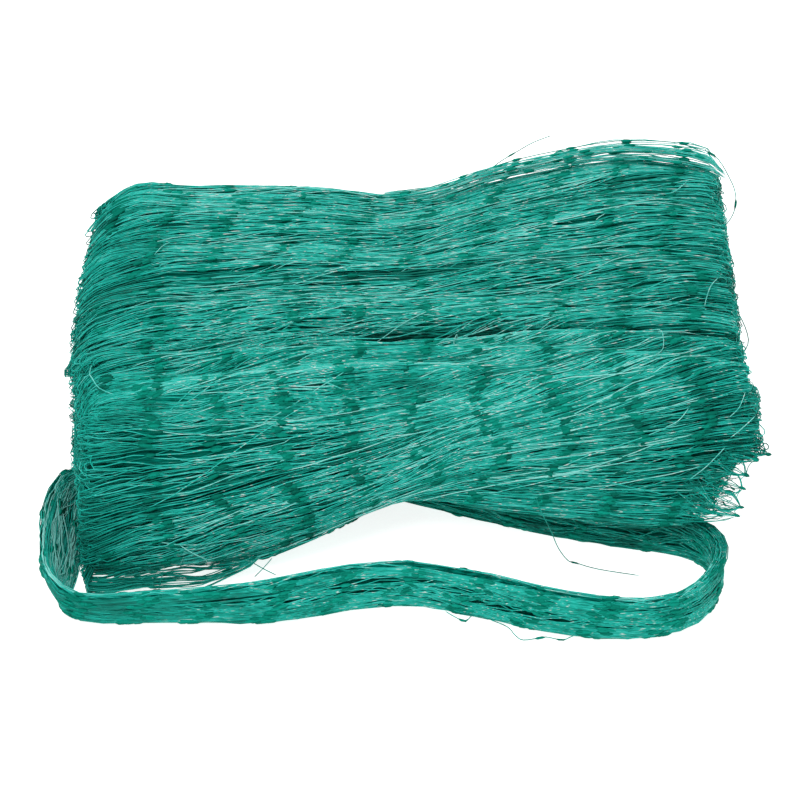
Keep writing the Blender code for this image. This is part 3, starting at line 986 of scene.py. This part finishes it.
def knots_at(path, places):
    """Short pieces of a path at some distances along it, for its knots."""
    steps = lengths_along(path)
    spindles = []
    for middle in places:
        at = middle + np.array(KNOT_SHAPE) * KNOT_LONG
        spindles.append(np.stack([np.interp(at, steps, path[:, axis]) for axis in range(3)], axis=-1))
    return spindles


# stack, first and last place along its skin line, x from and to, strands, how far off, how far drawn in,
# tones of strands and knots
LOOSE_NETS = {
    "loose_top_edge": (FAR, 87.0, 103.0, -12.0, 100.0, 46, 7.8, 1.0, 0.72, 0.85),
    "loose_back_edge": (FAR, 140.0, 158.0, -90.0, 90.0, 14, 0.8, 0.8, 0.45, 0.45),
}


def loose_net(name, seed):
    """A slack outer layer: a few zigzag strands that meet in knots and stand off the skin."""
    stack, start, end, x_from, x_to, count, off, drawn, pale, pale_knots = LOOSE_NETS[name]
    rng = np.random.default_rng(seed)
    home = np.linspace(start, end, count)[:, None]
    gap = (end - start) / count
    phase = rng.uniform(0, BAR) + rng.normal(0, 1.2, (count, 1))
    x = np.arange(x_from, x_to + 0.1, BAR / 4)[None, :] + rng.normal(0, 0.5, (count, 1))
    turn = np.where(np.arange(count)[:, None] % 2, 1, -1)
    along = home + gap * 0.8 * turn * np.cos(math.pi * (x - phase) / BAR) \
        + waves(rng, np.arange(count), x, (0.7, 70.0), (0.4, 30.0)) + rng.normal(0, 0.15, x.shape)
    ends = rising(x, x_from, 30.0) * falling(x, x_to, 8.0)
    above = off * rng.uniform(0.05, 1.0, (count, 1)) * (0.2 + 0.8 * ends) + rng.normal(0, 0.12, x.shape)
    across, height = stack.section(along, 0.1 - np.abs(above))
    paths = list(stack.points(x, across, np.maximum(height, 0.3), drawn))
    spindles = knots_between(rng, paths, 0.55)
    return net_pieces(name, paths, spindles, rng, (pale, 0.12, 0.3), (1.1, pale_knots))


# how far out each bunch under the front lies where they are widest, and the outermost strand at the left end
FRONT_BUNCHES = (-4.5, -3.3, -2.1, -0.9, 0.4, 1.8, 3.4)
FRONT_CORNER = 6.6
FRONT_START = -103.5       # x
SHORT_ONES = 34            # short strands that fill the corner


def front_lines(x, out, rise, sunk):
    """Lines along the stack's foot, out in front of it; their left ends turn up into the stack's end."""
    across, height = NEAR.section(rise, sunk - out)
    lines = NEAR.points(x, across, np.maximum(height, GROUND), 0.0)
    lines[..., 2] = np.maximum(lines[..., 2], GROUND)
    first, reach = lines[:, 0], np.maximum(out[:, :1], 0.0)
    turn = first + np.concatenate((-0.5 + 0 * reach, 0.3 * reach, 1.0 + 0 * reach), axis=1)
    tuck = first + np.concatenate((1.6 + 0 * reach, 0.9 * reach + 1.0, 3.6 + 0 * reach), axis=1)
    return list(np.concatenate((tuck[:, None], turn[:, None], lines), axis=1))


def loose_front():
    """Loose bunches under the front's left part: apart in the middle, together where the front lifts."""
    rng = np.random.default_rng(62)
    bunch = np.repeat(np.arange(len(FRONT_BUNCHES)), rng.integers(3, 7, len(FRONT_BUNCHES)))
    count = len(bunch)
    x = np.arange(FRONT_START, -38.0, 3.0)[None, :] + rng.normal(0, 0.4, (count, 1))
    apart = 0.3 + 0.7 * falling(x, -50.0, 26.0)
    wander = waves(rng, bunch, x, (0.6, 46.0), (0.35, 21.0)) \
        + waves(rng, np.arange(count), x, (0.28, 34.0), (0.16, 15.0))
    home = np.array(FRONT_BUNCHES)[bunch][:, None] + rng.normal(0, 0.22, (count, 1))
    fanned = np.linspace(-1.0, FRONT_CORNER, count)[:, None] + 0.3 * wander
    out = fanned + ((home + wander) * apart - fanned) * rising(x, -101.0, 17.0)
    x = x + 0.2 * np.maximum(out, 0) * (1 - rising(x, -101.0, 17.0))
    rise = UNDER + rng.uniform(0.5, 2.0, (count, 1)) + 0.6 * np.maximum(-out, 0)
    paths = front_lines(x, out, rise, 7.0 * rising(x, -54.0, 12.0))
    t = np.linspace(0, 1, 7)
    start = np.linspace(0.0, FRONT_CORNER, SHORT_ONES)[:, None] + rng.normal(0, 0.2, (SHORT_ONES, 1))
    x = FRONT_START + rng.uniform(14, 34, (SHORT_ONES, 1)) * t + 0.2 * start
    out = start * (1 - t) - 1.5 * t + rng.normal(0, 0.12, x.shape)
    paths += front_lines(x, out, UNDER + 1.0 + 0 * x, 0 * x)
    spindles = knots_between(rng, paths, 0.3)
    return net_pieces("loose_front", paths, spindles, rng, (0.42, 0.1, STRAND), (0.8,))


# x, y, z, spread in y and z, least and most reach, strands
FRINGES = {
    "fringe_low_right": (84.0, -44.0, 29.0, 4.0, 7.0, (3.0, 9.0), 16),
    "fringe_right_top": (88.0, 55.0, 42.0, 24.0, 10.0, (2.0, 5.0), 14),
    "fringe_low_left": (-95.0, -46.0, 12.0, 6.0, 10.0, (-5.0, -8.0), 12),
}


def fringe(name, seed):
    """Slack meshes that hang out of an end in uneven knotted loops."""
    x, y, z, spread_y, spread_z, out, count = FRINGES[name]
    rng = np.random.default_rng(seed)
    t = np.linspace(0, 1, 12)
    paths = []
    for _ in range(count):
        wide = rng.uniform(-5, 5, 2)
        crooked = np.cumsum(rng.normal(0, 0.55, (12, 3)), axis=0)
        crooked -= np.linspace(0, 1, 12)[:, None] * crooked[-1]
        path = np.stack((
            x + rng.uniform(*sorted(out)) * np.sin(math.pi * t) ** 0.8,
            y + rng.uniform(-spread_y, spread_y) + wide[0] * (t - 0.5),
            z + rng.uniform(-spread_z, spread_z) + wide[1] * (t - 0.5),
        ), axis=-1) + crooked
        path[:, 2] = np.maximum(path[:, 2], 0.3)
        paths.append(path)
    return net_pieces(name, paths, knots_between(rng, paths, 0.9), rng, (0.4, 0.12, 0.24), (0.9,))


# on the near stack's skin line: x and place along it of each tip and its root, spread, strands
FLAP = (
    (103.0, 52.4, 95.0, 54.0, 1.6, 4),
    (99.2, 49.6, 89.0, 51.5, 2.0, 8),
    (96.4, 43.8, 86.0, 48.0, 2.4, 11),
    (95.4, 39.2, 83.0, 44.0, 2.6, 12),
    (94.8, 33.0, 79.0, 39.0, 2.8, 12),
    (93.6, 29.4, 77.0, 35.0, 2.6, 10),
    (88.4, 29.6, 76.0, 33.0, 2.2, 8),
    (85.6, 31.0, 75.0, 31.0, 1.8, 7),
    (83.2, 28.2, 73.0, 29.5, 1.4, 7),
)
RIM = 6                    # how many of the tips hang together along the edge


def flap():
    """The slack corner at the lower right: strands drawn together in knots, with open meshes between."""
    rng = np.random.default_rng(81)
    rows = np.array(FLAP)
    tips = np.column_stack((rows[:, :2], np.full(len(rows), 0.6)))
    roots = np.column_stack((rows[:, 2:4], np.full(len(rows), -0.8)))
    middles = (tips[:-1] + tips[1:]) * 0.34 + (roots[:-1] + roots[1:]) * 0.16 \
        + rng.normal(0, 0.6, (len(rows) - 1, 3))
    paths, spots = [], [*tips, *middles]
    for i in range(len(rows)):
        spread, strands = rows[i, 4], int(rows[i, 5])
        for number, offset in enumerate(np.linspace(-spread, spread, strands)):
            near_by = middles[min(max(i - number % 2, 0), len(middles) - 1)]
            through = near_by if number % 3 else (roots[i] + tips[i]) / 2 + (0, offset * 0.8, 0.6)
            line = np.array((roots[i] + (rng.normal(0, 1.5), -offset, 0), through, tips[i]))
            paths.append(smooth_line(line + rng.normal(0, 0.2, (3, 3)), 5))
    for first, second in zip(tips[:RIM], tips[1:RIM]):
        bow = (first + second) / 2 + (rng.uniform(-1.6, -0.6), 0.3, 0)
        paths.append(smooth_line(np.array((first, bow, second)), 4))
    spindles = [spot + np.outer((-1.1, -0.4, 0.4, 1.1), (0.9, rng.uniform(-0.6, 0.2), 0.0))
                for spot in spots]
    lines = [NEAR.points(path[:, 0], *NEAR.section(path[:, 1], -path[:, 2])) for path in paths + spindles]
    paths, spindles = lines[:len(paths)], lines[len(paths):]
    return net_pieces("flap", paths, spindles, rng, (0.4, 0.1, 0.26), (1.15,))


# x, place along the skin line of a stack, how far off it
NEAR_HAIRS = {
    "left_end": ((-98, 101, 0.6), (-99, 94.7, 1.2), (-98.7, 89.3, 1.4), (-97, 85.5, 1.2), (-93, 83.5, 0.6)),
    "left_ring": ((-74, 40, 0.4), (-70, 37, 0.9), (-66, 34, 1.0), (-67, 28, 1.2), (-71, 26, 1.2),
                  (-74, 29, 0.9), (-73, 35, 0.7)),
    "middle": ((12, 118, 0.9), (11, 112, 1.2), (10, 107, 1.1), (10, 101, 0.6)),
    "right_bow": ((70, 113, 0.6), (73, 107, 1.3), (73, 99, 1.4), (70, 91, 0.7)),
    "right_drop": ((90, 55, 1.0), (87, 50.5, 1.6), (84, 46.5, 1.4), (79.5, 42, 0.5)),
    "right_low_a": ((99, 70, 0.5), (95, 64, 1.2), (91.5, 59, 0.6)),
    "right_low_b": ((79, 71, 0.5), (76, 66, 1.2), (72, 62.5, 0.6)),
    "right_tip": ((96, 79, 0.8), (94, 73, 1.4), (91, 68, 0.6)),
}
FAR_HAIRS = {
    "left": ((-77, 60, 0.3), (-79, 55, 0.9), (-81, 50, 0.6)),
    "right": ((89.5, 30, 0.5), (87, 26, 1.1), (85.5, 22, 1.1), (84.7, 19, 0.6)),
    "top": ((84, 76, 0.4), (79, 70, 1.0), (74, 69, 0.5)),
}
# x, y, z
FREE_HAIRS = {
    "back": ((12, 74, 44), (21, 81, 50), (25, 82.5, 53), (30, 84, 55.6), (35, 85.5, 58), (41, 86, 60.5)),
    "back_right": ((82, 84, 58), (91, 83, 55), (96, 79, 49), (98, 76, 44), (97, 72, 40), (93, 66, 39),
                   (87, 60, 42)),
    "right_end": ((92, 30, 41), (97, 27, 37), (100, 22, 31), (98, 18, 28)),
    "right_bow_end": ((99, 16, 30), (97, 14, 27), (93, 12, 25)),
    "front_drop": ((34, -47, 27), (35.4, -50, 24.5), (38.5, -50.5, 17), (40.9, -49, 8.8),
                   (43.9, -47.5, 2.5), (46.3, -46.8, 0.9), (53, -49.8, 1), (65.8, -52.8, 1)),
    "cross_a": ((-50.5, -50, 4), (-47, -53, 4), (-43, -57, 5)),
    "cross_b": ((-44.5, -49, 5), (-47, -53, 4.6), (-50, -57, 4)),
    "left_drop": ((-77, -57, 6), (-78, -60, 3), (-78.5, -63, 1)),
    "front_a": ((7, -69, 1.5), (10.5, -71, 0.6), (13, -72.2, 0.4), (14.5, -71, 1), (16, -70, 2)),
    "front_b": ((19.9, -72.5, 1.5), (25.4, -74.9, 0.6), (27.7, -78.4, 0.4), (30.1, -80.5, 0.4),
                (35.5, -79.4, 0.4), (37.3, -79.5, 0.6), (41.5, -80.5, 0.4), (43.6, -79.9, 0.8),
                (46, -79, 1.5)),
}
HAIR_KNOTS = {             # how far along each hair its knots lie
    "back": (22.0,),
    "back_right": (9.0, 27.0),
    "front_drop": (31.0,),
    "front_a": (6.3,),
    "front_b": (18.6, 25.0),
}


def hairs():
    """Single loose filaments, placed one by one: pale on the bundle, darker where they stand off it."""
    paths = [np.array(rows, float) for rows in FREE_HAIRS.values()]
    tones = [0.4] * len(paths)
    for stack, table in ((NEAR, NEAR_HAIRS), (FAR, FAR_HAIRS)):
        for rows in table.values():
            x, along, off = np.array(rows, float).T
            paths.append(stack.points(x, *stack.section(along, -off)))
            tones.append(0.85)
    spindles = []
    for name, places in HAIR_KNOTS.items():
        spindles += knots_at(smooth_line(np.array(FREE_HAIRS[name], float)), places)
    return [
        strand_piece("single_hairs", [smooth_line(path) for path in paths], tones, 0.30),
        knot_piece("hair_knots", spindles, np.random.default_rng(91), 0.8),
    ]


def smooth_line(rows, steps=4):
    """A smooth line through rows of a table, closely spaced."""
    last = len(rows) - 1
    fine = []
    for i in range(last):
        four = rows[[max(i - 1, 0), i, i + 1, min(i + 2, last)]]
        for t in np.arange(steps) / steps:
            weights = (-t + 2 * t**2 - t**3, 2 - 5 * t**2 + 3 * t**3, t + 4 * t**2 - 3 * t**3, t**3 - t**2)
            fine.append(np.array(weights) / 2 @ four)
    return np.array(fine + [rows[last]])


def loop_curve():
    """Length and rows (x, y, foot, height, lean) along the loop's middle line, closely spaced."""
    fine = smooth_line(np.array(LOOP), 24)
    return lengths_along(fine[:, :2]), fine


LOOP_CURVE = loop_curve()
LOOP_AHEAD = 3.0           # how far before and behind a place its direction is taken
LOOP_TURNS = ((86.0, -55.0, 16.0), (-108.0, -48.0, 20.0))     # x, y, reach
LOOP_FRONT = -58.0         # y in front of which the loop's front run lies
LOOP_RING = (1.06, 0.85)   # how far its strands may stand out of its section, inside and outside
LOOP_SLACK_SHARE = 0.16    # of its strands that are slack, and how much more than the others
LOOP_SLACK = 2.6


def loop_values(along, *columns):
    length, fine = LOOP_CURVE
    return [np.interp(along, length, fine[:, LOOP_COLUMNS.index(column)]) for column in columns]


def loop_points(along, side, share):
    """Points of the loop: side is how far inside its middle line, share how far up its height."""
    x, y, foot, height, lean = loop_values(along, *LOOP_COLUMNS)
    ahead = loop_values(along + LOOP_AHEAD, "x", "y")
    behind = loop_values(along - LOOP_AHEAD, "x", "y")
    dx, dy = ahead[0] - behind[0], ahead[1] - behind[1]
    size = np.hypot(dx, dy) + 1e-9
    z = foot + share * (height - foot)
    inward = side + lean * (1 - z / height) - flare(x, y) * (1 - z / height) ** 1.5
    return np.stack((x - dy / size * inward, y + dx / size * inward, z), axis=-1)


# x, y and reach of the spots where its strands spread on the ground in front, and how far out
LOOP_FLARE = (
    (-38.0, -69.0, 18.0, 3.4),
    (-12.0, -64.0, 12.0, 1.6),
    (18.0, -68.0, 22.0, 2.7),
    (58.0, -79.0, 20.0, 1.6),
    (80.0, -70.0, 10.0, 1.8),
)


def around(x, y, at_x, at_y, reach):
    """1 at a place on the ground, and softly down to 0 around it."""
    return np.exp(-((x - at_x) ** 2 + (y - at_y) ** 2) / reach**2)


def flare(x, y):
    return sum(out * around(x, y, *place) for *place, out in LOOP_FLARE)


# x, y and reach of the spots where its upper strands stand away outwards, how far, and from what share up
LOOP_LOOSE = (
    (-109.0, -34.0, 20.0, 1.3, 0.85),
    (88.0, -50.0, 11.0, 2.2, 0.80),
)


def loop_steps(points):
    """Lengths along the loop for the points of its strands: closer together in its two turns."""
    length, fine = LOOP_CURVE
    close = sum(around(fine[:, 0], fine[:, 1], *place) for place in LOOP_TURNS)
    share = np.concatenate(([0.0], np.cumsum((1 + 1.5 * close[1:]) * np.diff(length))))
    return np.interp(np.linspace(0.5, share[-1] - 0.5, points), share, length)


def rounded(wave, power):
    """A sine or cosine made fuller, for a section that is rounder than square and squarer than round."""
    return np.sign(wave) * np.abs(wave) ** power


def make_loop(count=280):
    """The loop's strands, in a ring around its middle line, and their knots."""
    rng = np.random.default_rng(41)
    total = LOOP_CURVE[0][-1]
    along = loop_steps(int(total / BAR * 3))[None, :] + np.zeros((count, 1))
    home = np.sort(rng.uniform(0, 2 * math.pi, count))[:, None]
    own = np.arange(count)
    lock = own // LOCK_STRANDS
    slack = np.where(rng.uniform(0, 1, (count, 1)) < LOOP_SLACK_SHARE, LOOP_SLACK, 1.0)
    angle = home + waves(rng, lock, along, (0.34, 170.0), (0.16, 70.0)) \
        + waves(rng, own, along, (0.16, 80.0), (0.10, 34.0)) + rng.normal(0, 0.05, along.shape)
    ring = 1 - np.abs(rng.normal(0, 0.16, (count, 1))) \
        + slack * (waves(rng, own, along, (0.09, 55.0)) + rng.normal(0, 0.035, along.shape))
    ring = np.minimum(ring, np.where(np.cos(angle) > 0, *LOOP_RING))
    side = LOOP_THICK / 2 * rounded(np.cos(angle), 0.6) * ring
    share = 0.48 + 0.47 * rounded(np.sin(angle), 0.75) * ring
    x, y, lean = loop_values(along, "x", "y", "lean")
    for *place, most, upper in LOOP_LOOSE:
        loose = (share.mean(axis=1, keepdims=True) > upper) & (rng.uniform(0, 1, (count, 1)) < 0.5)
        side = side - loose * around(x, y, *place) * rng.uniform(0.2, most, (count, 1))
    paths = loop_points(along, side, share)
    paths[..., 2] = np.maximum(paths[..., 2], GROUND)
    x, y = paths[..., 0], paths[..., 1]
    # masks for the loop's painted light and shade: lighter on the inner face where it leans back in the
    # bundle's shade and on the front run's crest; darker on the outer left corner, under the bundle, and
    # along the front run, more to its left
    inner = side > 0.3
    under = rising(y, -50.0, 10.0) * rising(x, -95.0, 15.0)
    corner = falling(x, -72.0, 20.0) * (1 - inner)
    front = y < LOOP_FRONT
    crest = rising(side, -0.2, 0.6) * rising(share, 0.7, 0.2) * front
    run = (0.035 + 0.075 * falling(x, -35.0, 20.0)) * front
    tones = rng.normal(0.5, 0.1, (count, 1)) + 0.055 * lean * inner \
        - 0.10 * corner - 0.16 * under - run + 0.22 * crest
    pieces = [strand_piece("loose_loop_strands", paths, list(tones))]
    spindles = []
    rows = knot_row_line(rng)(home[:, 0] * 9)
    rows = rows + rng.normal(0, 1.5, lock.max() + 1)[lock] + rng.normal(0, 0.8, count)
    for number in range(1, int(total / BAR)):
        at = (rows + number * BAR)[:, None] + np.array(KNOT_SHAPE) * KNOT_LONG
        chosen = rng.uniform(0, 1, count) < 0.36
        spot = [np.stack([np.interp(at[k], along[k], values[k]) for k in own]) for values in (side, share)]
        spindles.append(loop_points(at, spot[0] * 1.04, spot[1])[chosen])
    spindles = np.concatenate(spindles)
    spindles[..., 2] = np.maximum(spindles[..., 2], 0.5)
    pieces.append(knot_piece("loose_loop_knots", spindles, rng, 0.85 * KNOT_WIDE, 0.62))
    return pieces


def loop_face(count=64):
    """More strands on the inner face of the loop's left turn, which leans back and lies open."""
    rng = np.random.default_rng(44)
    along = np.linspace(12.0, 98.0, 15)[None, :] + rng.uniform(-4, 4, (count, 1))
    home = np.linspace(0.02, 0.93, count)[:, None]
    share = home + waves(rng, np.arange(count) // 5, along, (0.035, 90.0), (0.02, 40.0)) \
        + rng.normal(0, 0.008, along.shape)
    side = 1.5 + rng.normal(0, 0.22, (count, 1)) + rng.normal(0, 0.1, along.shape)
    paths = loop_points(along, side, np.clip(share, 0.02, 0.95))
    # a lighter tone than the rest of the loop: painted light on a face in the bundle's shade
    return strand_piece("loop_inner_face", paths, rng.normal(0.60, 0.07, count))


# stack, name, seed, first and last place along the skin line, spread of the locks' angles
SKINS = (
    (NEAR, "near", 11, 4.0, NEAR.length + 14, 0.036),
    (FAR, "far_top", 12, 0.0, 112.0, 0.028),
    (FAR, "far_back", 13, 106.0, FAR.length, 0.028),
)
# stack, name, seed, side, turns
ENDS = (
    (NEAR, "near_right", 21, 1, 700),
    (NEAR, "near_left", 22, -1, 900),
    (FAR, "far_right", 23, 1, 1000),
    (FAR, "far_left", 24, -1, 1300),
)
CURLS = ((0.6, 1.7), 1.0, 0.24, 0.34)      # radii, how far they stand out, diameter, tone
# stack, name, seed, strands, places along the skin line; where they differ, also span, tone and how deep
CROSSERS = (
    (NEAR, "near_crossing_strands", 51, 300, (UNDER + 4, NEAR.length - 8)),
    (NEAR, "near_fan_strands", 53, 260, (20.0, 52.0), (2.0, 97.0), 0.36, 0.4),
    (FAR, "far_crossing_strands", 52, 380, (SEAM_DROP, 150)),
)


# ================================================================ camera, floor and light
CAMERA_DISTANCE = 1.80
CAMERA_RISE = 40.0
CAMERA_TARGET = (-0.00636, 0.00038, 0.025)
CAMERA_LENS = 267.3
CAMERA_SENSOR = 36.0
FLOOR_SIZE = 6.0
FLOOR_HEIGHT = -0.0002
FLOOR_GREY = 0.6
FLOOR_GLOW = 0.82
ROOM_LIGHT = 0.95
# name, place, size, power
LIGHTS = (
    ("key", (-0.5, -0.9, 1.5), 0.5, 14.0),
    ("back", (0.4, 1.2, 1.3), 0.8, 9.0),
)


def set_view():
    rise = math.radians(CAMERA_RISE)
    data = bpy.data.cameras.new("view")
    data.lens = CAMERA_LENS
    data.sensor_width = CAMERA_SENSOR
    camera = add_object("view", data)
    camera.location = Vector(CAMERA_TARGET) + Vector((0, -math.cos(rise), math.sin(rise))) * CAMERA_DISTANCE
    camera.rotation_euler = (math.pi / 2 - rise, 0, 0)
    bpy.context.scene.camera = camera
    bpy.context.scene.view_settings.view_transform = "Standard"


def set_floor():
    mesh = bmesh.new()
    bmesh.ops.create_grid(mesh, x_segments=1, y_segments=1, size=FLOOR_SIZE)
    data = bpy.data.meshes.new("floor")
    mesh.to_mesh(data)
    mesh.free()
    _, shader = new_material("white_paper", roughness=0.9, specular=0.0)
    shader.inputs["Base Color"].default_value = (FLOOR_GREY, FLOOR_GREY, FLOOR_GREY, 1)
    shader.inputs["Emission Color"].default_value = (1, 1, 1, 1)
    shader.inputs["Emission Strength"].default_value = FLOOR_GLOW
    data.materials.append(bpy.data.materials["white_paper"])
    floor = add_object("floor", data)
    floor.location.z = FLOOR_HEIGHT


def set_light():
    world = bpy.data.worlds.new("room")
    bpy.context.scene.world = world
    world.use_nodes = True
    background = world.node_tree.nodes["Background"]
    background.inputs["Color"].default_value = (1, 1, 1, 1)
    background.inputs["Strength"].default_value = ROOM_LIGHT
    for name, spot, size, power in LIGHTS:
        data = bpy.data.lights.new(name, "AREA")
        data.size = size
        data.energy = power
        lamp = add_object(name, data)
        lamp.location = spot
        lamp.rotation_euler = (-Vector(spot)).to_track_quat("-Z", "Y").to_euler()


def main():
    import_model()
    strand_material("green_strand")
    knot_material("green_knot")
    core_material("net_in_painted_shade")
    set_view()
    core = make_core()
    pieces = []
    for row in SKINS:
        pieces += dress(*row)
    pieces += make_loop()
    pieces += [loop_face(), seam_strands()]
    for stack, name, seed, side, count in ENDS:
        pieces.append(hairpins(stack, name + "_turns", seed, side, count))
        pieces.append(hairpins(stack, name + "_curls", seed + 10, side, count // 5, *CURLS))
    pieces += [crossers(*row) for row in CROSSERS]
    pieces.append(bridges())
    pieces += hairs()
    pieces += loose_front()
    pieces += flap()
    for seed, name in enumerate(LOOSE_NETS, 61):
        pieces += loose_net(name, seed)
    for seed, name in enumerate(FRINGES, 71):
        pieces += fringe(name, seed)
    set_floor()
    set_light()


main()
